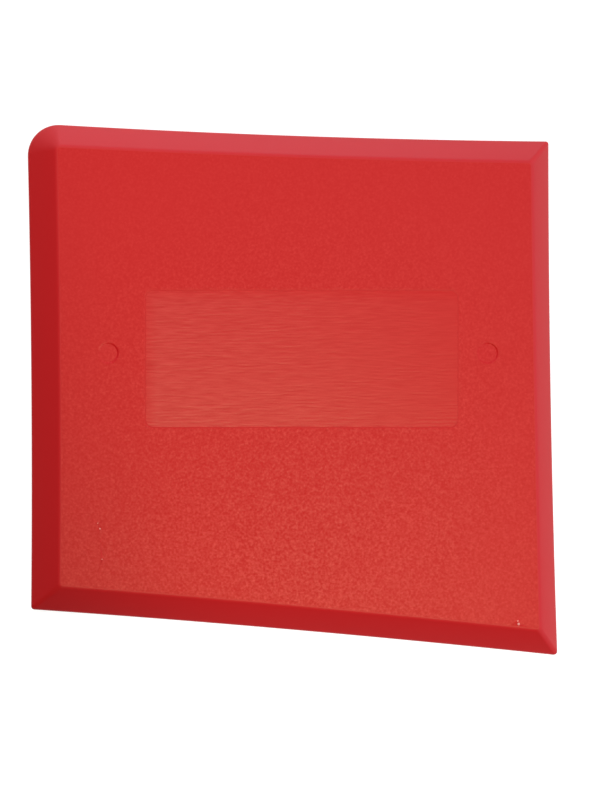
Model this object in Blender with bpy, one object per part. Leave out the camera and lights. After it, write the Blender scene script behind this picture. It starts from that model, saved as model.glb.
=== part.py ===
"""Card squeegee for smoothing down vinyl film: one moulded plastic card with four bevelled edges.

Run with blender --background --python part.py, or from the text editor.
Metres, +Z up. The card lies on its back with its face up, and +Y runs towards its top edge.
"""

import math

import bmesh
import bpy
from mathutils import Matrix, Vector
from mathutils.geometry import interpolate_bezier, intersect_line_line

MM = 0.001

# Outline, seen from the front: a four-sided card with no two sides parallel
CARD_WIDTH = 101.6 * MM
CARD_HEIGHT = 101.9 * MM
TOP_FALL = 3.4 * MM
BOTTOM_FALL = 9.0 * MM
LEFT_LEAN = 0.7 * MM
RIGHT_LEAN = 1.7 * MM

# How far the middle of each side dips in, as a moulded edge does when it shrinks
LEFT_HOLLOW = 0.35 * MM
BOTTOM_HOLLOW = 0.4 * MM
RIGHT_HOLLOW = 0.4 * MM
TOP_HOLLOW = 0.55 * MM

# Corner radii of the outline: one corner is well rounded, the other three are nearly sharp
TOP_LEFT_RADIUS = 5.5 * MM
BOTTOM_LEFT_RADIUS = 0.6 * MM
BOTTOM_RIGHT_RADIUS = 0.8 * MM
TOP_RIGHT_RADIUS = 0.5 * MM
FACE_CORNER_RADIUS = 0.9 * MM

# Edge section: a square land at the rim, then a bevel of a different width on each side
THICKNESS = 4.5 * MM
EDGE_LAND = 1.2 * MM
LEFT_BEVEL = 5.7 * MM
BOTTOM_BEVEL = 4.8 * MM
RIGHT_BEVEL = 3.45 * MM
TOP_BEVEL = 4.45 * MM
BACK_ROUNDING = 0.35 * MM
LAND_ROUNDING = 0.3 * MM
FACE_ROUNDING = 0.5 * MM

# Panel in the face, sunk only a little: the mark of a separate insert in the mould
PANEL_WIDTH = 59.5 * MM
PANEL_HEIGHT = 26.0 * MM
PANEL_CENTRE = Vector((1.9, 5.75)) * MM
PANEL_DEPTH = 0.1 * MM
PANEL_DRAFT = 0.15 * MM
PANEL_CORNER_RADIUS = 0.9 * MM

# Round marks that the ejector pins leave, one on each side of the panel, deeper on the right
MARK_DIAMETER = 4.2 * MM
MARK_SPACING = 72.4 * MM
MARK_CENTRE = Vector((1.05, 6.8)) * MM
MARK_DEPTH = 0.11 * MM
MARK_DRAFT = 0.12 * MM
MARK_TILT = math.radians(2.5)

# Fineness of the faceted shapes
CORNER_STEPS = 12
SIDE_STEPS = 12
ROUNDING_STEPS = 4
PANEL_CORNER_STEPS = 5
MARK_STEPS = 40
CUTTER_HEADROOM = 0.5 * MM

PLASTIC_RED = (0.53, 0.025, 0.022, 1.0)
PLASTIC_ROUGHNESS = 0.48


def clear_scene():
    for old in list(bpy.data.objects):
        bpy.data.objects.remove(old, do_unlink=True)


def new_collection(name):
    collection = bpy.data.collections.new(name)
    bpy.context.scene.collection.children.link(collection)
    return collection


def new_object(name, shape, collection, parent):
    mesh = bpy.data.meshes.new(name)
    shape.to_mesh(mesh)
    shape.free()
    piece = bpy.data.objects.new(name, mesh)
    piece.parent = parent
    collection.objects.link(piece)
    return piece


def outline_corners():
    """The four sharp corners, anticlockwise from the top left."""
    half_width = CARD_WIDTH / 2
    half_height = CARD_HEIGHT / 2
    return [
        Vector((-half_width, half_height, 0)),
        Vector((-half_width + LEFT_LEAN, -half_height + BOTTOM_FALL, 0)),
        Vector((half_width, -half_height, 0)),
        Vector((half_width - RIGHT_LEAN, half_height - TOP_FALL, 0)),
    ]


def inward(start, end):
    """Unit vector square to a side, pointing into an anticlockwise outline."""
    along = (end - start).normalized()
    return Vector((-along.y, along.x, 0))


def inset_corners(corners, insets):
    """Corners of the outline whose sides are moved in by one inset each."""
    sides = []
    for index, inset in enumerate(insets):
        start = corners[index]
        end = corners[(index + 1) % len(corners)]
        shift = inward(start, end) * inset
        sides.append((start + shift, end + shift))
    return [intersect_line_line(*sides[index - 1], *sides[index])[0] for index in range(len(sides))]


def corner_arc(before, corner, after, radius):
    """Points round one corner, from the side that comes in to the side that goes out."""
    to_before = (before - corner).normalized()
    to_after = (after - corner).normalized()
    half_angle = to_before.angle(to_after) / 2
    bisector = (to_before + to_after).normalized()
    centre = corner + bisector * (radius / math.sin(half_angle))
    first = corner + to_before * (radius / math.tan(half_angle)) - centre
    turn = math.pi - 2 * half_angle
    points = []
    for step in range(CORNER_STEPS + 1):
        angle = turn * step / CORNER_STEPS
        turned = Vector((
            first.x * math.cos(angle) - first.y * math.sin(angle),
            first.x * math.sin(angle) + first.y * math.cos(angle),
            0,
        ))
        points.append(centre + turned)
    return points


def hollow_side(start, end, hollow):
    """Points between two corner arcs, on a side that dips in a little at its middle."""
    points = []
    for step in range(1, SIDE_STEPS):
        fraction = step / SIDE_STEPS
        dip = hollow * 4 * fraction * (1 - fraction)
        points.append(start.lerp(end, fraction) + inward(start, end) * dip)
    return points


def outline(corners, radii):
    """Closed outline of rounded corners and hollow sides."""
    count = len(corners)
    arcs = []
    for index in range(count):
        before = corners[index - 1]
        after = corners[(index + 1) % count]
        arcs.append(corner_arc(before, corners[index], after, radii[index]))
    hollows = [LEFT_HOLLOW, BOTTOM_HOLLOW, RIGHT_HOLLOW, TOP_HOLLOW]
    points = []
    for index in range(count):
        points += arcs[index]
        points += hollow_side(arcs[index][-1], arcs[(index + 1) % count][0], hollows[index])
    return points


def edge_profile():
    """Section of the edge as (distance in from the rim, height), from the back round to the face.

    It is drawn at the mean bevel width and then scaled to a width of one, and each side of the card
    stretches it to its own width.
    """
    mean_bevel = (LEFT_BEVEL + BOTTOM_BEVEL + RIGHT_BEVEL + TOP_BEVEL) / 4
    bends = [
        (Vector((0, 0, 0)), BACK_ROUNDING),
        (Vector((0, EDGE_LAND, 0)), LAND_ROUNDING),
        (Vector((mean_bevel, THICKNESS, 0)), FACE_ROUNDING),
    ]
    back_middle = Vector((mean_bevel, 0, 0))
    face_middle = Vector((2 * mean_bevel, THICKNESS, 0))
    path = [back_middle] + [bend for bend, _ in bends] + [face_middle]
    section = []
    for index, (bend, rounding) in enumerate(bends, start=1):
        start = bend + (path[index - 1] - bend).normalized() * rounding
        end = bend + (path[index + 1] - bend).normalized() * rounding
        section += interpolate_bezier(start, bend, bend, end, ROUNDING_STEPS + 1)
    return [(point.x / mean_bevel, point.y) for point in section]


def loft(rings):
    """Closed skin over rings of equal count, with a flat cap on the first and the last."""
    shape = bmesh.new()
    loops = [[shape.verts.new(point) for point in ring] for ring in rings]
    for lower, upper in zip(loops, loops[1:]):
        for index in range(len(lower)):
            after = (index + 1) % len(lower)
            shape.faces.new((lower[index], lower[after], upper[after], upper[index]))
    shape.faces.new(reversed(loops[0]))
    shape.faces.new(loops[-1])
    return shape


def card_shape(rim, face):
    """The card, lofted from its rounded rim to its sharp-cornered face along the edge section."""
    rings = []
    for inset, height in edge_profile():
        ring = []
        for rim_point, face_point in zip(rim, face):
            point = rim_point.lerp(face_point, inset)
            ring.append(Vector((point.x, point.y, height)))
        rings.append(ring)
    return loft(rings)


def panel_cutter():
    """Rounded box that narrows downwards, for the sunken panel."""
    height = PANEL_DEPTH + CUTTER_HEADROOM
    spread = PANEL_DRAFT / PANEL_DEPTH * height
    shape = bmesh.new()
    bmesh.ops.create_cube(shape, size=1)
    floor_size = Vector((PANEL_WIDTH - 2 * PANEL_DRAFT, PANEL_HEIGHT - 2 * PANEL_DRAFT, height))
    bmesh.ops.scale(shape, vec=floor_size, verts=shape.verts)
    upright = [edge for edge in shape.edges if edge.verts[0].co.z * edge.verts[1].co.z < 0]
    bmesh.ops.bevel(
        shape,
        geom=upright,
        offset=PANEL_CORNER_RADIUS,
        segments=PANEL_CORNER_STEPS,
        profile=0.5,
        affect="EDGES",
    )
    mouth = [vert for vert in shape.verts if vert.co.z > 0]
    widen = Vector((1 + 2 * spread / floor_size.x, 1 + 2 * spread / floor_size.y, 1))
    bmesh.ops.scale(shape, vec=widen, verts=mouth)
    bottom = THICKNESS - PANEL_DEPTH
    place = Vector((PANEL_CENTRE.x, PANEL_CENTRE.y, bottom + height / 2))
    bmesh.ops.translate(shape, vec=place, verts=shape.verts)
    return shape


def mark_cutter(side):
    """Shallow dish that narrows downwards, for one ejector mark. Side is -1 or 1."""
    height = MARK_DEPTH + CUTTER_HEADROOM
    spread = MARK_DRAFT / MARK_DEPTH * height
    floor_radius = MARK_DIAMETER / 2 - MARK_DRAFT
    shape = bmesh.new()
    bmesh.ops.create_cone(
        shape,
        cap_ends=True,
        segments=MARK_STEPS,
        radius1=floor_radius,
        radius2=floor_radius + spread,
        depth=height,
    )
    across = MARK_CENTRE.x + side * MARK_SPACING / 2
    floor_middle = Vector((across, MARK_CENTRE.y, THICKNESS - MARK_DEPTH))
    bmesh.ops.translate(shape, vec=floor_middle + Vector((0, 0, height / 2)), verts=shape.verts)
    bmesh.ops.rotate(shape, cent=floor_middle, matrix=Matrix.Rotation(MARK_TILT, 3, "Y"), verts=shape.verts)
    return shape


def cut(piece, cutter):
    cutter.hide_render = True
    cutter.display_type = "WIRE"
    boolean = piece.modifiers.new(cutter.name, "BOOLEAN")
    boolean.operation = "DIFFERENCE"
    boolean.solver = "EXACT"
    boolean.object = cutter


def moulded_plastic():
    material = bpy.data.materials.new("red_moulded_plastic")
    material.use_nodes = True
    shader = material.node_tree.nodes["Principled BSDF"]
    shader.inputs["Base Color"].default_value = PLASTIC_RED
    shader.inputs["Roughness"].default_value = PLASTIC_ROUGHNESS
    shader.inputs["Metallic"].default_value = 0.0
    return material


def datum_at_middle(rim, collection):
    """Empty that shifts the card so that its outline's box is centred on the origin."""
    middle = Vector((0, 0, 0))
    for axis in range(2):
        reach = [point[axis] for point in rim]
        middle[axis] = (min(reach) + max(reach)) / 2
    datum = bpy.data.objects.new("card_datum", None)
    datum.location = -middle
    collection.objects.link(datum)
    return datum


def main():
    clear_scene()
    parts = new_collection("squeegee_applicator")
    cutters = new_collection("cutters")

    corners = outline_corners()
    radii = [TOP_LEFT_RADIUS, BOTTOM_LEFT_RADIUS, BOTTOM_RIGHT_RADIUS, TOP_RIGHT_RADIUS]
    rim = outline(corners, radii)
    face_corners = inset_corners(corners, [LEFT_BEVEL, BOTTOM_BEVEL, RIGHT_BEVEL, TOP_BEVEL])
    face = outline(face_corners, [FACE_CORNER_RADIUS] * len(face_corners))
    datum = datum_at_middle(rim, parts)

    card = new_object("applicator_card", card_shape(rim, face), parts, datum)
    card.data.materials.append(moulded_plastic())
    cut(card, new_object("panel_cutter", panel_cutter(), cutters, datum))
    for side, name in ((-1, "left_mark_cutter"), (1, "right_mark_cutter")):
        cut(card, new_object(name, mark_cutter(side), cutters, datum))


main()
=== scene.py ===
"""Looks of a card squeegee: the moulded card with its finishes, a pale floor, soft light and a camera.

The file is laid out as a Blender add-on. Run as a script, it registers itself and builds everything.
Lengths are in metres. The card lies on its back, face up, with +Y towards its top edge.
"""

import math

import bmesh
import bpy
from bpy.props import FloatProperty, FloatVectorProperty, PointerProperty
from mathutils import Matrix, Vector
from mathutils.geometry import intersect_line_line


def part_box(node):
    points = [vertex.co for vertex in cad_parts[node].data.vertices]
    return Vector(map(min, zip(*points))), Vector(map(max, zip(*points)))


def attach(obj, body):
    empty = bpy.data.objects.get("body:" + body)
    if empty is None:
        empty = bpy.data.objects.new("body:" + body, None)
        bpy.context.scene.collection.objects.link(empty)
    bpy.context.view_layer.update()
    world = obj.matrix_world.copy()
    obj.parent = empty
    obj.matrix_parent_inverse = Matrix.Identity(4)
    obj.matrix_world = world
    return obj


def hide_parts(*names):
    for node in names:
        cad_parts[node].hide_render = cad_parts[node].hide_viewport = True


bl_info = {
    "name": "Card Squeegee",
    "version": (1, 0, 0),
    "blender": (4, 5, 0),
    "location": "View3D > Sidebar > Squeegee",
    "description": "Models and dresses a moulded card squeegee for smoothing down vinyl film",
    "category": "Object",
}

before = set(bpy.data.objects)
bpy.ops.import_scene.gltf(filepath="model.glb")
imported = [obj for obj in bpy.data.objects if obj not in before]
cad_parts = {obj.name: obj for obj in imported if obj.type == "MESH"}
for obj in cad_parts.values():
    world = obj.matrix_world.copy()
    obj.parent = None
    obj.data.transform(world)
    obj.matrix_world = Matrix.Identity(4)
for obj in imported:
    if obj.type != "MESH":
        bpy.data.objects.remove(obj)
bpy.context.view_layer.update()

MM = 0.001
CARD_NODE = "applicator_card"
CARD_LOW, CARD_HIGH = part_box(CARD_NODE)

# Fineness of the rounded shapes
CORNER_SEGMENTS = 16
SIDE_CUTS = 15
CROWN_CUTS = 5
EDGE_SEGMENTS = 5
PANEL_CORNER_SEGMENTS = 8
MARK_SEGMENTS = 64
FLECK_SEGMENTS = 10
TINY = 0.001 * MM

# Flecks of torn plastic on the face: right of and above the drawing's origin, and radius, in millimetres
FLECKS = (
    (42.9, -44.05, 0.15),
    (43.05, -44.64, 0.24),
    (-37.0, -25.45, 0.1),
    (-36.6, -26.5, 0.155),
    (-36.2, -32.3, 0.1),
)

# Width of a fleck's sloping side and its height, as shares of its radius
FLECK_SLOPE = 1 / 2
FLECK_HEIGHT = 1 / 3

# Index of refraction of polypropylene, and the roughness of each of its finishes
PLASTIC_IOR = 1.49
FACE_ROUGHNESS = 0.38
BEVEL_ROUGHNESS = 0.42
PANEL_ROUGHNESS = 0.3
WITNESS_ROUGHNESS = 0.43
TORN_ROUGHNESS = 0.5

# Face: its sheen, the share of the grain that is left where it is faintest, how much the grain shifts the
# sheen and paints glints and shade into the colour, and the usual value of the grain's square
FACE_SHEEN = 0.33
FAINT_GRAIN = 0.25
GRAIN_SHEEN = 0.85
# Painted light: how far the grain paints the pigment lighter on its peaks and darker in its hollows
GRAIN_PAINTED_LIGHT = 0.38
GRAIN_SQUARE = 0.26

# Bevels: depth of their grain, as a share of the face's
BEVEL_GRAIN = 1 / 8

# Panel: its sheen at the left and right, what its left and top sides keep of it, how much the cutter lines
# shift the sheen and paint streaks of highlight and shade into the colour, the share of the lines that is
# left at the right, where the sheen is weaker, and their usual value
PANEL_LEFT_SHEEN = 0.61
PANEL_RIGHT_SHEEN = 0.355
PANEL_SIDE_SHARE = 0.72
LINE_SHEEN = 1.15
# Painted light: how far the cutter lines paint the pigment lighter and darker along the streaks
LINE_PAINTED_LIGHT = 0.31
RIGHT_LINES = 0.45
LINE_MIDDLE = 0.5

# Sizes of the patches of painted shade in the fine groove and of the torn fibres, as multiples of the grain's
GROOVE_SHADE_PATCH = 4
TORN_FIBRE = 1 / 4

# Order of the card's material slots, after the face's own, which comes first
BEVEL_SLOT = 1
PANEL_SLOT = 2
WITNESS_SLOT = 3
FLECK_SLOT = 4

# Colours of the lamps
WARM = "F9FFC6"
PLAIN = "FEFFFB"
COOL = "DDEAFF"

# Floor: how far it is lifted to white, and the gap that it leaves under the card
FLOOR_LIFT = 0.8
FLOOR_GAP = 0.02 * MM


def linear_colour(hex_code):
    """Scene-linear RGB of an sRGB colour written as six hex digits."""
    channels = [int(hex_code[start:start + 2], 16) / 255 for start in (0, 2, 4)]
    return [c / 12.92 if c <= 0.04045 else ((c + 0.055) / 1.055) ** 2.4 for c in channels]


def length(name, description, millimetres):
    """Length property with a default in millimetres."""
    return FloatProperty(
        name=name,
        description=description,
        default=millimetres * MM,
        unit="LENGTH",
        precision=5,
    )


def angle(name, description, degrees):
    """Angle property with a default in degrees."""
    return FloatProperty(
        name=name,
        description=description,
        default=math.radians(degrees),
        subtype="ANGLE",
    )


def colour(name, description, hex_code):
    """Colour property with an sRGB hex default."""
    return FloatVectorProperty(
        name=name,
        description=description,
        default=linear_colour(hex_code),
        subtype="COLOR",
        min=0.0,
        max=1.0,
    )


class CardShape(bpy.types.PropertyGroup):
    """Sizes of the moulded card."""

    width: length("Width", "Between the outermost sharp corners, left to right", 101.6)
    height: length("Height", "Between the outermost sharp corners, top to bottom", 101.9)
    top_fall: length("Top fall", "How far the top edge drops from left to right", 3.4)
    bottom_fall: length("Bottom fall", "How far the bottom edge drops from left to right", 8.8)
    left_lean: length("Left lean", "How far the left edge moves in from top to bottom", 0.7)
    right_lean: length("Right lean", "How far the right edge moves out from top to bottom", 1.7)
    left_hollow: length("Left hollow", "How far the middle of the left edge dips in", 0.35)
    bottom_hollow: length("Bottom hollow", "How far the middle of the bottom edge dips in", 0.45)
    right_hollow: length("Right hollow", "How far the middle of the right edge dips in", 0.4)
    top_hollow: length("Top hollow", "How far the middle of the top edge dips in", 0.55)
    face_bottom_hollow: length("Face bottom hollow", "How far the face's lower side dips in", 0.32)
    face_right_hollow: length("Face right hollow", "How far the face's right side dips in", 0.15)
    face_top_hollow: length("Face top hollow", "How far the face's upper side dips in", 0.36)
    top_left_radius: length("Top left radius", "The one well-rounded corner", 6.2)
    bottom_left_radius: length("Bottom left radius", "Radius of a nearly sharp corner", 0.6)
    bottom_right_radius: length("Bottom right radius", "Radius of a nearly sharp corner", 0.8)
    top_right_radius: length("Top right radius", "Radius of a nearly sharp corner", 0.5)
    face_radius: length("Face corner radius", "Corners of the flat face, inside the bevels", 0.9)
    land: length("Edge land", "Height of the square rim under the bevel", 1.2)
    left_bevel: length("Left bevel", "Width of the left bevel, seen from the front", 5.7)
    bottom_bevel: length("Bottom bevel", "Width of the bottom bevel, seen from the front", 5.05)
    bottom_taper: length("Bottom taper", "How much narrower the bottom bevel is at its right end", 0.4)
    right_bevel: length("Right bevel", "Width of the right bevel, seen from the front", 3.45)
    top_bevel: length("Top bevel", "Width of the top bevel, seen from the front", 4.33)
    crown: length("Crown", "How far the bevels bulge at their middles", 0.06)
    rim_rounding: length("Rim rounding", "Softness of the working rim", 0.3)
    face_rounding: length("Face rounding", "Softness of the line between face and bevel", 0.4)


class PanelShape(bpy.types.PropertyGroup):
    """Sizes of the sunken panel and of the round marks beside it."""

    width: length("Panel width", "Sunken panel, left to right", 59.7)
    height: length("Panel height", "Sunken panel, top to bottom", 26.3)
    across: length("Panel across", "Panel's middle, right of the drawing's origin", 1.8)
    up: length("Panel up", "Panel's middle, above the drawing's origin", 5.8)
    radius: length("Panel radius", "Corners of the sunken panel", 1.6)
    depth: length("Panel depth", "How deep the panel is sunk", 0.01)
    witness_width: length("Witness width", "Width of the fine line around the panel", 0.24)
    witness_depth: length("Witness depth", "Depth of the fine line around the panel", 0.02)
    mark_diameter: length("Mark diameter", "Round marks of the ejector pins", 4.0)
    mark_spacing: length("Mark spacing", "Between the two round marks", 72.2)
    marks_across: length("Marks across", "Midway between the marks, right of the origin", 1.05)
    marks_up: length("Marks up", "Height of the marks above the origin", 6.9)
    mark_depth: length("Mark depth", "How deep the round marks are at their middles", 0.095)
    mark_draft: length("Mark draft", "How far the round marks' walls lean out", 0.24)
    mark_tilt: angle("Mark tilt", "How far the marks' floors dip to one side", 2.3)
    mark_turn: angle("Mark turn", "Which way the marks' floors dip, anticlockwise from the right", 20.0)
    mark_rounding: length("Mark rounding", "Softness of the round marks' edges", 0.1)
    polish_fade: length("Polish fade", "How far in from its left and top the panel is fully polished", 2.4)
    margin: length("Margin", "Flat margin kept around a sunken shape", 0.4)


class CardFinish(bpy.types.PropertyGroup):
    """Colour and grain of the moulded plastic."""

    pigment: colour("Pigment", "Red of the plastic", "CC191B")
    # Darker red for the fine groove around the panel: painted shade in that groove
    groove_shade: colour("Grime", "Red of the plastic under dust", "C41518")
    torn: colour("Torn plastic", "Pale pink of stretched plastic", "FFBCAE")
    grain: length("Grain", "Size of the spark-eroded grain on the face", 0.43)
    grain_depth: length("Grain depth", "How deep the spark-eroded grain is at the lower edge", 0.02)
    # Where the grain's bumps and its painted glints and shade are strongest, under the sheen, and how far
    # they fade
    glint_across: length("Sharp across", "Sharpest grain, right of the drawing's origin", -0.5)
    glint_up: length("Sharp up", "Sharpest grain, above the drawing's origin", -29.6)
    glint_reach: length("Sharp reach", "How far from there the grain is at its faintest", 72.0)
    milling: length("Milling pitch", "Distance between the cutter lines on the panel", 0.34)
    milling_length: length("Milling length", "Length of one cutter line", 3.6)
    milling_depth: length("Milling depth", "How deep the cutter lines are", 0.02)


class StageLook(bpy.types.PropertyGroup):
    """Floor and camera."""

    floor_colour: colour("Floor", "Pale floor", "BCBCBC")
    floor_size: FloatProperty(name="Floor size", description="Side of the floor", default=40.0, unit="LENGTH")
    camera_height: length("Camera height", "Camera above the card's rim", 450.0)
    view_height: length("View height", "What the picture's height takes in at the card's rim", 153.3)
    view_across: length("View across", "Picture's middle, right of the drawing's origin", 1.455)
    view_up: length("View up", "Picture's middle, above the drawing's origin", -2.02)


def card_corners(shape):
    """Sharp corners of the outline, anticlockwise from the top left."""
    half_width = shape.width / 2
    half_height = shape.height / 2
    return [
        Vector((-half_width, half_height, 0)),
        Vector((-half_width + shape.left_lean, -half_height + shape.bottom_fall, 0)),
        Vector((half_width, -half_height, 0)),
        Vector((half_width - shape.right_lean, half_height - shape.top_fall, 0)),
    ]


def inset_corners(corners, insets):
    """Corners of the outline whose sides are moved in, each by one inset at its start and one at its end."""
    sides = []
    for index, (first, last) in enumerate(insets):
        start = corners[index]
        end = corners[(index + 1) % len(corners)]
        along = (end - start).normalized()
        inward = Vector((-along.y, along.x, 0))
        sides.append((start + inward * first, end + inward * last))
    return [intersect_line_line(*sides[index - 1], *sides[index])[0] for index in range(len(sides))]


def corner_radii(shape):
    """Radii of the outline's corners, anticlockwise from the top left."""
    return [
        shape.top_left_radius,
        shape.bottom_left_radius,
        shape.bottom_right_radius,
        shape.top_right_radius,
    ]


def side_hollows(shape):
    """Dips of the outline's sides, anticlockwise from the left."""
    return [shape.left_hollow, shape.bottom_hollow, shape.right_hollow, shape.top_hollow]


def face_hollows(shape):
    """Dips of the face's sides, anticlockwise from the left."""
    return [shape.left_hollow, shape.face_bottom_hollow, shape.face_right_hollow, shape.face_top_hollow]


def drawing_shift(shape):
    """From the drawing's origin to the frame's, where the outline's box is centred."""
    rim = bmesh.new()
    outline_loop(rim, card_corners(shape), corner_radii(shape), side_hollows(shape), 0)
    across = [vert.co.x for vert in rim.verts]
    up = [vert.co.y for vert in rim.verts]
    rim.free()
    drawn_middle = Vector((min(across) + max(across), min(up) + max(up), 0)) / 2
    card_middle = (CARD_LOW + CARD_HIGH) / 2
    return Vector((card_middle.x - drawn_middle.x, card_middle.y - drawn_middle.y, CARD_LOW.z))


def round_corners(bm, verts, radii, segments):
    """Rounds corners of a flat face, each to its own radius."""
    for vert, radius in zip(verts, radii):
        bmesh.ops.bevel(
            bm,
            geom=[vert],
            offset=radius,
            offset_type="OFFSET",
            segments=segments,
            profile=0.5,
            affect="VERTICES",
            material=-1,
        )


def arch(fraction):
    """Height of an arch that is nought at both ends and one in the middle."""
    return 4 * fraction * (1 - fraction)


def hollow_side(bm, side, centre, hollow):
    """Cuts a straight side into short lengths and dips its middle towards the centre."""
    start = side.verts[0].co.copy()
    end = side.verts[1].co.copy()
    along = (end - start).normalized()
    inward = centre - start
    inward = (inward - along * inward.dot(along)).normalized()
    cuts = bmesh.ops.subdivide_edges(bm, edges=[side], cuts=SIDE_CUTS)
    for vert in cuts["geom_inner"]:
        if isinstance(vert, bmesh.types.BMVert):
            fraction = (vert.co - start).length / (end - start).length
            vert.co += inward * hollow * arch(fraction)


def side_between(edges, start, end):
    """The edge that lies nearest to the middle of a straight side."""
    middle = (start + end).xy / 2
    return min(edges, key=lambda edge: ((edge.verts[0].co + edge.verts[1].co).xy / 2 - middle).length)


def outline_loop(bm, corners, radii, hollows, height):
    """Edges of a closed outline with rounded corners and sides that dip in at their middles."""
    before = set(bm.edges)
    verts = [bm.verts.new((corner.x, corner.y, height)) for corner in corners]
    centre = sum((vert.co for vert in verts), Vector()) / len(verts)
    bm.faces.new(verts)
    round_corners(bm, verts, radii, CORNER_SEGMENTS)
    loop = [edge for edge in bm.edges if edge not in before]
    ends = corners[1:] + corners[:1]
    sides = [side_between(loop, start, end) for start, end in zip(corners, ends)]
    for side, hollow in zip(sides, hollows):
        hollow_side(bm, side, centre, hollow)
    loop = [edge for edge in bm.edges if edge not in before]
    bmesh.ops.delete(bm, geom=loop[0].link_faces[:], context="FACES_ONLY")
    return loop


def round_edges(bm, edges, offset):
    """Rounds edges over by the same distance on both sides."""
    bmesh.ops.bevel(
        bm,
        geom=edges,
        offset=offset,
        offset_type="OFFSET",
        segments=EDGE_SEGMENTS,
        profile=0.5,
        affect="EDGES",
        material=-1,
    )


def flat_edges(bm, height):
    """Edges that lie flat at one height."""
    return [edge for edge in bm.edges if all(abs(vert.co.z - height) < TINY for vert in edge.verts)]


def crown_bevels(bm, shape, thickness):
    """Cuts the bevels into strips along the rim and bulges their middles a little."""
    rise = thickness - shape.land
    ramps = [edge for edge in bm.edges if abs(abs(edge.verts[0].co.z - edge.verts[1].co.z) - rise) < TINY]
    cuts = bmesh.ops.subdivide_edges(bm, edges=ramps, cuts=CROWN_CUTS, use_grid_fill=True)
    bm.normal_update()
    strips = [vert for vert in cuts["geom_inner"] if isinstance(vert, bmesh.types.BMVert)]
    bulges = []
    for vert in strips:
        fraction = (vert.co.z - shape.land) / rise
        bulges.append(vert.normal * shape.crown * arch(fraction))
    for vert, bulge in zip(strips, bulges):
        vert.co += bulge


def bevelled_slab(bm, shape, thickness):
    """The card's body: a square land at the rim, four bevels and rounded edges, open at the face."""
    corners = card_corners(shape)
    radii = corner_radii(shape)
    hollows = side_hollows(shape)
    insets = [
        (shape.left_bevel, shape.left_bevel),
        (shape.bottom_bevel, shape.bottom_bevel - shape.bottom_taper),
        (shape.right_bevel, shape.right_bevel),
        (shape.top_bevel, shape.top_bevel),
    ]
    face_corners = inset_corners(corners, insets)
    face_radii = [shape.face_radius] * len(corners)
    back = outline_loop(bm, corners, radii, hollows, 0)
    land = outline_loop(bm, corners, radii, hollows, shape.land)
    face = outline_loop(bm, face_corners, face_radii, face_hollows(shape), thickness)
    bmesh.ops.bridge_loops(bm, edges=back + land)
    bmesh.ops.bridge_loops(bm, edges=land + face)
    bmesh.ops.edgeloop_fill(bm, edges=back)
    bmesh.ops.edgeloop_fill(bm, edges=face)
    bmesh.ops.recalc_face_normals(bm, faces=bm.faces)
    crown_bevels(bm, shape, thickness)
    round_edges(bm, flat_edges(bm, thickness), shape.face_rounding)
    round_edges(bm, flat_edges(bm, shape.land), shape.rim_rounding)
    round_edges(bm, flat_edges(bm, 0), shape.rim_rounding)
    face_cap = [face for face in bm.faces if abs(face.calc_center_median().z - thickness) < TINY]
    bmesh.ops.delete(bm, geom=face_cap, context="FACES_ONLY")
    for face in bm.faces:
        face.material_index = BEVEL_SLOT


def inset(bm, face, thickness, depth):
    """Insets a face within its own edges, sinks it by the depth and gives the faces around it."""
    ring = bmesh.ops.inset_region(
        bm,
        faces=[face],
        use_boundary=True,
        use_even_offset=True,
        thickness=thickness,
        depth=-depth,
    )
    return ring["faces"]


def sunken_panel(bm, panel, thickness):
    """Rounded rectangle sunk a little into the face, with a fine line around it."""
    verts = bmesh.ops.create_grid(bm, x_segments=1, y_segments=1, size=0.5)["verts"]
    size = Vector((panel.width + 2 * panel.margin, panel.height + 2 * panel.margin, 1))
    bmesh.ops.scale(bm, vec=size, verts=verts)
    bmesh.ops.translate(bm, vec=Vector((panel.across, panel.up, thickness)), verts=verts)
    other_faces = set(bm.faces).difference(verts[0].link_faces)
    round_corners(bm, verts, [panel.radius + panel.margin] * len(verts), PANEL_CORNER_SEGMENTS)
    floor = set(bm.faces).difference(other_faces).pop()
    inset(bm, floor, panel.margin, 0)
    line = inset(bm, floor, panel.witness_width / 2, panel.witness_depth)
    line += inset(bm, floor, panel.witness_width / 2, panel.depth - panel.witness_depth)
    for face in line:
        face.material_index = WITNESS_SLOT
    floor.material_index = PANEL_SLOT


def ejector_mark(bm, panel, side, thickness):
    """Shallow round dish that an ejector pin leaves, deeper on one side. Side is -1 or 1."""
    radius = panel.mark_diameter / 2 + panel.margin
    verts = bmesh.ops.create_circle(bm, cap_ends=True, segments=MARK_SEGMENTS, radius=radius)["verts"]
    across = panel.marks_across + side * panel.mark_spacing / 2
    bmesh.ops.translate(bm, vec=Vector((across, panel.marks_up, thickness)), verts=verts)
    floor = verts[0].link_faces[0]
    margin = set(inset(bm, floor, panel.margin, 0))
    wall = inset(bm, floor, panel.mark_draft, panel.mark_depth)
    hinge = Vector((-math.sin(panel.mark_turn), math.cos(panel.mark_turn), 0))
    tilt = Matrix.Rotation(panel.mark_tilt, 3, hinge)
    bmesh.ops.rotate(bm, cent=floor.calc_center_median(), matrix=tilt, verts=floor.verts)
    mouth = [edge for face in wall for edge in face.edges if margin.intersection(edge.link_faces)]
    round_edges(bm, mouth + floor.edges[:], panel.mark_rounding)


def fleck(bm, across, up, radius, thickness):
    """Small raised tatter of torn plastic on the face."""
    ring = bmesh.ops.create_circle(bm, cap_ends=True, segments=FLECK_SEGMENTS, radius=radius)
    bmesh.ops.translate(bm, vec=Vector((across, up, thickness)), verts=ring["verts"])
    top = ring["verts"][0].link_faces[0]
    sides = inset(bm, top, radius * FLECK_SLOPE, -radius * FLECK_HEIGHT)
    for face in [top, *sides]:
        face.material_index = FLECK_SLOT


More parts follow.
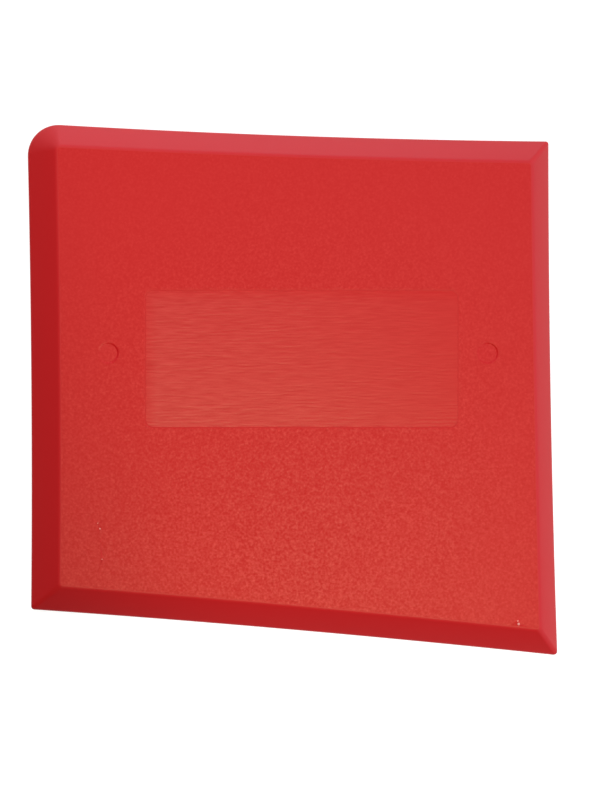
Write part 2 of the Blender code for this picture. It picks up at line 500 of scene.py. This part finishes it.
def card_mesh(shape, panel):
    """The whole moulding as one closed mesh."""
    thickness = CARD_HIGH.z - CARD_LOW.z
    bm = bmesh.new()
    bevelled_slab(bm, shape, thickness)
    sunken_panel(bm, panel, thickness)
    for side in (-1, 1):
        ejector_mark(bm, panel, side, thickness)
    for across, up, radius in FLECKS:
        fleck(bm, across * MM, up * MM, radius * MM, thickness)
    open_edges = [edge for edge in bm.edges if edge.is_boundary]
    bmesh.ops.triangle_fill(bm, use_beauty=True, edges=open_edges, normal=(0, 0, 1))
    bmesh.ops.remove_doubles(bm, verts=bm.verts, dist=TINY)
    bmesh.ops.recalc_face_normals(bm, faces=bm.faces)
    for face in bm.faces:
        face.smooth = face.material_index not in {WITNESS_SLOT, FLECK_SLOT}
    bmesh.ops.translate(bm, vec=drawing_shift(shape), verts=bm.verts)
    mesh = bpy.data.meshes.new("card_moulding")
    bm.to_mesh(mesh)
    bm.free()
    return mesh


def add_node(tree, kind, inputs, **options):
    """Adds a node, sets its options and fills its inputs.

    An input is a value, a socket that is linked to it, or a node whose first output is linked to it.
    """
    node = tree.nodes.new(kind)
    for option, value in options.items():
        setattr(node, option, value)
    for socket, value in inputs.items():
        if isinstance(value, bpy.types.Node):
            value = value.outputs[0]
        if isinstance(value, bpy.types.NodeSocket):
            tree.links.new(value, node.inputs[socket])
        else:
            node.inputs[socket].default_value = value
    return node


def new_material(name):
    """Material with an empty tree, and that tree."""
    material = bpy.data.materials.new(name)
    material.use_nodes = True
    material.node_tree.nodes.clear()
    return material, material.node_tree


def opaque(rgb):
    """RGB with full alpha."""
    return (*rgb, 1.0)


def shaded_pigment(tree, finish, swing, share):
    """The pigment, made lighter or darker by a share of the swing, as painted glints and painted shade."""
    light = add_node(tree, "ShaderNodeMath", {0: swing, 1: share, 2: 1.0}, operation="MULTIPLY_ADD")
    return add_node(tree, "ShaderNodeVectorMath", {0: finish.pigment, "Scale": light}, operation="SCALE")


def spark_eroded_plastic(finish, glint_centre):
    """Moulded polypropylene from a spark-eroded mould.

    The fine even grain breaks the sheen into small glints, and paints its peaks lighter and its hollows
    darker as painted glints and shade. Both are strongest near the middle of the lower edge, where the sheen
    falls, and its hollows hold back a third of the sheen that bare polypropylene has.
    """
    material, tree = new_material("spark_eroded_polypropylene")
    place = add_node(tree, "ShaderNodeTexCoord", {}).outputs["Object"]
    grain = add_node(tree, "ShaderNodeTexNoise", {
        "Vector": place, "Scale": 1 / finish.grain, "Detail": 1.0, "Roughness": 0.5,
    })
    away = add_node(tree, "ShaderNodeVectorMath", {0: place, 1: glint_centre}, operation="DISTANCE")
    strength = add_node(tree, "ShaderNodeMapRange", {
        "Value": away.outputs["Value"], "From Max": finish.glint_reach, "To Min": 1.0, "To Max": FAINT_GRAIN,
    })
    depth = add_node(tree, "ShaderNodeMath", {0: strength, 1: finish.grain_depth}, operation="MULTIPLY")
    bump = add_node(tree, "ShaderNodeBump", {"Height": grain, "Distance": depth, "Strength": 1.0})
    # Squared, so that the peaks stand out more than the hollows, in the sheen and in the painted glints
    squared = add_node(tree, "ShaderNodeMath", {0: grain, 1: grain}, operation="MULTIPLY")
    peaks = add_node(tree, "ShaderNodeMath", {0: squared, 1: GRAIN_SQUARE}, operation="SUBTRACT")
    swing = add_node(tree, "ShaderNodeMath", {0: peaks, 1: strength}, operation="MULTIPLY")
    sheen = add_node(tree, "ShaderNodeMath", {
        0: swing, 1: GRAIN_SHEEN, 2: FACE_SHEEN,
    }, operation="MULTIPLY_ADD")
    # The pigment carries painted glints on the grain's peaks and painted shade in its hollows
    shader = add_node(tree, "ShaderNodeBsdfPrincipled", {
        "Base Color": shaded_pigment(tree, finish, swing, GRAIN_PAINTED_LIGHT),
        "Roughness": FACE_ROUGHNESS,
        "IOR": PLASTIC_IOR,
        "Specular IOR Level": sheen,
        "Normal": bump,
    })
    add_node(tree, "ShaderNodeOutputMaterial", {"Surface": shader})
    return material


def satin_plastic(finish):
    """Moulded polypropylene from a stoned mould wall.

    The bevels have next to no grain, so they shade evenly and catch a soft broad sheen.
    """
    material, tree = new_material("satin_polypropylene")
    place = add_node(tree, "ShaderNodeTexCoord", {}).outputs["Object"]
    grain = add_node(tree, "ShaderNodeTexNoise", {
        "Vector": place, "Scale": 1 / finish.grain, "Detail": 2.0, "Roughness": 0.6,
    })
    bump = add_node(tree, "ShaderNodeBump", {
        "Height": grain, "Distance": finish.grain_depth * BEVEL_GRAIN, "Strength": 1.0,
    })
    shader = add_node(tree, "ShaderNodeBsdfPrincipled", {
        "Base Color": opaque(finish.pigment),
        "Roughness": BEVEL_ROUGHNESS,
        "IOR": PLASTIC_IOR,
        "Normal": bump,
    })
    add_node(tree, "ShaderNodeOutputMaterial", {"Surface": shader})
    return material


def panel_polish(tree, place, panel, corner):
    """Sheen of the panel's floor and share of its cutter lines, both measured from its top left corner.

    The sheen fades at the left and top sides. It is weaker at the right, and so are the lines and the painted
    streak highlights and shade that they give the colour.
    """
    offset = add_node(tree, "ShaderNodeVectorMath", {0: place, 1: corner}, operation="SUBTRACT")
    inside = add_node(tree, "ShaderNodeSeparateXYZ", {"Vector": offset}).outputs
    below = add_node(tree, "ShaderNodeMath", {0: inside["Y"], 1: -1.0}, operation="MULTIPLY")
    nearest = add_node(tree, "ShaderNodeMath", {0: inside["X"], 1: below}, operation="MINIMUM")
    share = add_node(tree, "ShaderNodeMapRange", {
        "Value": nearest, "From Max": panel.polish_fade, "To Min": PANEL_SIDE_SHARE, "To Max": 1.0,
    })
    sheen = add_node(tree, "ShaderNodeMapRange", {
        "Value": inside["X"],
        "From Max": panel.width,
        "To Min": PANEL_LEFT_SHEEN,
        "To Max": PANEL_RIGHT_SHEEN,
    })
    lines = add_node(tree, "ShaderNodeMapRange", {
        "Value": inside["X"], "From Max": panel.width, "To Min": 1.0, "To Max": RIGHT_LINES,
    })
    polish = add_node(tree, "ShaderNodeMath", {0: share, 1: sheen}, operation="MULTIPLY")
    return polish, lines


def milled_plastic(finish, panel, corner):
    """Moulded polypropylene from a milled mould insert.

    The cutter's level lines stand in the panel's floor and draw the sheen out into short streaks. They also
    paint the pigment lighter and darker along the streaks, as painted highlight and shade.
    """
    material, tree = new_material("milled_polypropylene")
    place = add_node(tree, "ShaderNodeTexCoord", {}).outputs["Object"]
    stretch = add_node(tree, "ShaderNodeMapping", {
        "Vector": place, "Scale": (1 / finish.milling_length, 1 / finish.milling, 1 / finish.milling),
    })
    lines = add_node(tree, "ShaderNodeTexNoise", {
        "Vector": stretch, "Scale": 1.0, "Detail": 2.0, "Roughness": 0.5,
    })
    bump = add_node(tree, "ShaderNodeBump", {
        "Height": lines, "Distance": finish.milling_depth, "Strength": 1.0,
    })
    polish, share = panel_polish(tree, place, panel, corner)
    ridges = add_node(tree, "ShaderNodeMath", {0: lines, 1: LINE_MIDDLE}, operation="SUBTRACT")
    swing = add_node(tree, "ShaderNodeMath", {0: ridges, 1: share}, operation="MULTIPLY")
    streaks = add_node(tree, "ShaderNodeMath", {0: swing, 1: LINE_SHEEN, 2: 1.0}, operation="MULTIPLY_ADD")
    sheen = add_node(tree, "ShaderNodeMath", {0: polish, 1: streaks}, operation="MULTIPLY")
    # The pigment carries painted highlight and shade along the cutter lines
    shader = add_node(tree, "ShaderNodeBsdfPrincipled", {
        "Base Color": shaded_pigment(tree, finish, swing, LINE_PAINTED_LIGHT),
        "Roughness": PANEL_ROUGHNESS,
        "IOR": PLASTIC_IOR,
        "Specular IOR Level": sheen,
        "Normal": bump,
    })
    add_node(tree, "ShaderNodeOutputMaterial", {"Surface": shader})
    return material


def groove_shade_plastic(finish):
    """Moulded polypropylene painted a patchy darker red.

    The fine groove around the panel is painted darker than the face, as painted shade in the groove.
    """
    material, tree = new_material("groove_shade_polypropylene")
    place = add_node(tree, "ShaderNodeTexCoord", {}).outputs["Object"]
    patches = add_node(tree, "ShaderNodeTexNoise", {
        "Vector": place, "Scale": 1 / (GROOVE_SHADE_PATCH * finish.grain), "Detail": 2.0, "Roughness": 0.6,
    })
    # Painted shade: patches of darker red along the fine groove
    tint = add_node(tree, "ShaderNodeMix", {
        "Factor": patches, "A": opaque(finish.pigment), "B": opaque(finish.groove_shade),
    }, data_type="RGBA")
    shader = add_node(tree, "ShaderNodeBsdfPrincipled", {
        "Base Color": tint.outputs["Result"],
        "Roughness": WITNESS_ROUGHNESS,
        "IOR": PLASTIC_IOR,
        "Specular IOR Level": FACE_SHEEN,
    })
    add_node(tree, "ShaderNodeOutputMaterial", {"Surface": shader})
    return material


def torn_plastic(finish):
    """Polypropylene that a knock has torn.

    The stretched plastic scatters light inside and turns a pale pink.
    """
    material, tree = new_material("torn_polypropylene")
    place = add_node(tree, "ShaderNodeTexCoord", {}).outputs["Object"]
    fibres = add_node(tree, "ShaderNodeTexNoise", {
        "Vector": place, "Scale": 1 / (TORN_FIBRE * finish.grain), "Detail": 2.0, "Roughness": 0.6,
    })
    tint = add_node(tree, "ShaderNodeMix", {
        "Factor": fibres, "A": opaque(finish.pigment), "B": opaque(finish.torn),
    }, data_type="RGBA")
    shader = add_node(tree, "ShaderNodeBsdfPrincipled", {
        "Base Color": tint.outputs["Result"],
        "Roughness": TORN_ROUGHNESS,
        "IOR": PLASTIC_IOR,
    })
    add_node(tree, "ShaderNodeOutputMaterial", {"Surface": shader})
    return material


def pale_floor(stage):
    """Matt paper floor, lifted to white for the camera and in reflections, which keeps its shadow."""
    material, tree = new_material("matt_paper")
    path = add_node(tree, "ShaderNodeLightPath", {}).outputs
    seen = add_node(tree, "ShaderNodeMath", {
        0: path["Is Camera Ray"], 1: path["Is Glossy Ray"],
    }, operation="MAXIMUM")
    seen = add_node(tree, "ShaderNodeMath", {0: seen, 1: path["Is Transmission Ray"]}, operation="MAXIMUM")
    lift = add_node(tree, "ShaderNodeMath", {0: seen, 1: FLOOR_LIFT}, operation="MULTIPLY")
    paper = add_node(tree, "ShaderNodeBsdfDiffuse", {"Color": opaque(stage.floor_colour)})
    glow = add_node(tree, "ShaderNodeEmission", {"Strength": lift})
    both = add_node(tree, "ShaderNodeAddShader", {0: paper, 1: glow})
    add_node(tree, "ShaderNodeOutputMaterial", {"Surface": both})
    return material


def floor_mesh(stage):
    """Square floor just under the card."""
    bm = bmesh.new()
    bmesh.ops.create_grid(bm, x_segments=1, y_segments=1, size=stage.floor_size / 2)
    bmesh.ops.translate(bm, vec=Vector((0, 0, CARD_LOW.z - FLOOR_GAP)), verts=bm.verts)
    mesh = bpy.data.meshes.new("floor")
    bm.to_mesh(mesh)
    bm.free()
    return mesh


def side_glow(tree, side, dark, bright, strength):
    """Strength of a glow that fades in between two cosines of the angle from its side."""
    direction = add_node(tree, "ShaderNodeTexCoord", {}).outputs["Generated"]
    towards = add_node(tree, "ShaderNodeVectorMath", {
        0: direction, 1: Vector(side).normalized(),
    }, operation="DOT_PRODUCT")
    return add_node(tree, "ShaderNodeMapRange", {
        "Value": towards.outputs["Value"], "From Min": dark, "From Max": bright, "To Max": strength,
    }, interpolation_type="SMOOTHSTEP")


def studio_world():
    """Dark room with a cool glow from the right and another from beyond the card's top."""
    world = bpy.data.worlds.new("studio")
    world.use_nodes = True
    tree = world.node_tree
    tree.nodes.clear()
    from_right = side_glow(tree, side=(1.0, -0.2, 0.4), dark=0.3, bright=0.95, strength=0.818)
    from_top = side_glow(tree, side=(0.16, 1.0, 0.4), dark=0.0, bright=0.9, strength=0.789)
    both = add_node(tree, "ShaderNodeMath", {0: from_right, 1: from_top}, operation="ADD")
    background = add_node(tree, "ShaderNodeBackground", {
        "Color": opaque(linear_colour(COOL)), "Strength": both,
    })
    add_node(tree, "ShaderNodeOutputWorld", {"Surface": background})
    bpy.context.scene.world = world


def place_lamp(light, place, aim, hex_code, sheen):
    """Puts a lamp at its place, turned to its aim. It doesn't show to the camera, and may leave no sheen."""
    light.color = linear_colour(hex_code)
    lamp = bpy.data.objects.new(light.name, light)
    lamp.location = place
    lamp.rotation_euler = (Vector(aim) - Vector(place)).to_track_quat("-Z", "Y").to_euler()
    lamp.visible_camera = False
    lamp.visible_glossy = sheen
    bpy.context.scene.collection.objects.link(lamp)


def soft_lamp(name, place, size, watts, hex_code, sheen=True):
    """Round soft lamp that faces the card."""
    light = bpy.data.lights.new(name, "AREA")
    light.shape = "DISK"
    light.size = size
    light.energy = watts
    place_lamp(light, place, (0, 0, 0), hex_code, sheen)


def edged_lamp(name, place, aim, radius, watts, hex_code, cone_angle, cone_fade):
    """Soft lamp without sheen, with a cone whose faded edge leaves the card's lower left corner dimmer."""
    light = bpy.data.lights.new(name, "SPOT")
    light.shadow_soft_size = radius
    light.energy = watts
    light.spot_size = cone_angle
    light.spot_blend = cone_fade
    place_lamp(light, place, aim, hex_code, sheen=False)


def studio_lamps():
    """Warm lamps overhead for the sheen, plain ones near the card and a cool one low beyond its top."""
    soft_lamp("overhead broad", place=(0, 0, 1.2), size=0.8, watts=0.62, hex_code=WARM)
    soft_lamp("overhead low", place=(0.02, -0.22, 1.0), size=0.16, watts=1.463, hex_code=WARM)
    soft_lamp("low top", place=(0, 0.978, 0.208), size=0.4, watts=0.806, hex_code=COOL)
    soft_lamp("near top", place=(-0.1, 0.215, 0.275), size=0.12, watts=0.346, hex_code=PLAIN, sheen=False)
    edged_lamp(
        "near right",
        place=(0.146, -0.221, 0.403),
        aim=(0.342, 0.034, 0),
        radius=0.02,
        watts=2.72,
        hex_code=PLAIN,
        cone_angle=math.radians(93.8),
        cone_fade=0.123,
    )


def photo_camera(stage, shape):
    """Camera that looks straight down on the card."""
    data = bpy.data.cameras.new("camera")
    data.sensor_width = 36.0
    data.lens = data.sensor_width * stage.camera_height / stage.view_height
    data.clip_start = 0.01
    camera = bpy.data.objects.new("camera", data)
    rim_height = CARD_LOW.z + shape.land
    middle = Vector((stage.view_across, stage.view_up, 0)) + drawing_shift(shape)
    camera.location = (middle.x, middle.y, rim_height + stage.camera_height)
    bpy.context.scene.collection.objects.link(camera)
    bpy.context.scene.camera = camera


class SQUEEGEE_OT_card(bpy.types.Operator):
    """Model the moulded card with its bevels, sunken panel and round marks"""

    bl_idname = "squeegee.card"
    bl_label = "Card"

    def execute(self, context):
        scene = context.scene
        shape = scene.squeegee_card
        panel = scene.squeegee_panel
        finish = scene.squeegee_finish
        shift = drawing_shift(shape)
        panel_corner = Vector((panel.across - panel.width / 2, panel.up + panel.height / 2, 0)) + shift
        # Centre of the grain's bumps and of its painted glints and shade
        glint_centre = Vector((finish.glint_across, finish.glint_up, 0)) + shift
        mesh = card_mesh(shape, panel)
        materials = (
            spark_eroded_plastic(finish, glint_centre),
            satin_plastic(finish),
            milled_plastic(finish, panel, panel_corner),
            groove_shade_plastic(finish),
            torn_plastic(finish),
        )
        for material in materials:
            mesh.materials.append(material)
        card = bpy.data.objects.new("card_moulding", mesh)
        scene.collection.objects.link(card)
        card.modifiers.new("flat_faces_stay_flat", "WEIGHTED_NORMAL")
        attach(card, "root")
        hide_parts(CARD_NODE)
        return {"FINISHED"}


class SQUEEGEE_OT_stage(bpy.types.Operator):
    """Set the pale floor, the soft light and the camera"""

    bl_idname = "squeegee.stage"
    bl_label = "Stage"

    def execute(self, context):
        scene = context.scene
        stage = scene.squeegee_stage
        mesh = floor_mesh(stage)
        mesh.materials.append(pale_floor(stage))
        floor = bpy.data.objects.new("floor", mesh)
        scene.collection.objects.link(floor)
        studio_world()
        studio_lamps()
        photo_camera(stage, scene.squeegee_card)
        scene.view_settings.view_transform = "Standard"
        return {"FINISHED"}


class SQUEEGEE_PT_panel(bpy.types.Panel):
    """Sizes, colours and steps of the card squeegee"""

    bl_idname = "SQUEEGEE_PT_panel"
    bl_label = "Card Squeegee"
    bl_space_type = "VIEW_3D"
    bl_region_type = "UI"
    bl_category = "Squeegee"

    def draw(self, context):
        for group_name in PROPERTY_GROUPS:
            group = getattr(context.scene, group_name)
            box = self.layout.box()
            for name in group.bl_rna.properties.keys():
                if name not in {"rna_type", "name"}:
                    box.prop(group, name)
        for operator in OPERATORS:
            self.layout.operator(operator.bl_idname)


PROPERTY_GROUPS = {
    "squeegee_card": CardShape,
    "squeegee_panel": PanelShape,
    "squeegee_finish": CardFinish,
    "squeegee_stage": StageLook,
}
OPERATORS = (SQUEEGEE_OT_card, SQUEEGEE_OT_stage)
CLASSES = (*PROPERTY_GROUPS.values(), *OPERATORS, SQUEEGEE_PT_panel)


def register():
    """Registers the classes and hangs the sizes and colours on the scene."""
    for cls in CLASSES:
        bpy.utils.register_class(cls)
    for name, group in PROPERTY_GROUPS.items():
        setattr(bpy.types.Scene, name, PointerProperty(type=group))


def unregister():
    """Takes the sizes and colours off the scene and unregisters the classes."""
    for name in PROPERTY_GROUPS:
        delattr(bpy.types.Scene, name)
    for cls in reversed(CLASSES):
        bpy.utils.unregister_class(cls)


def main():
    """Registers the add-on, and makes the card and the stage."""
    register()
    bpy.ops.squeegee.card()
    bpy.ops.squeegee.stage()


if __name__ == "__main__":
    main()
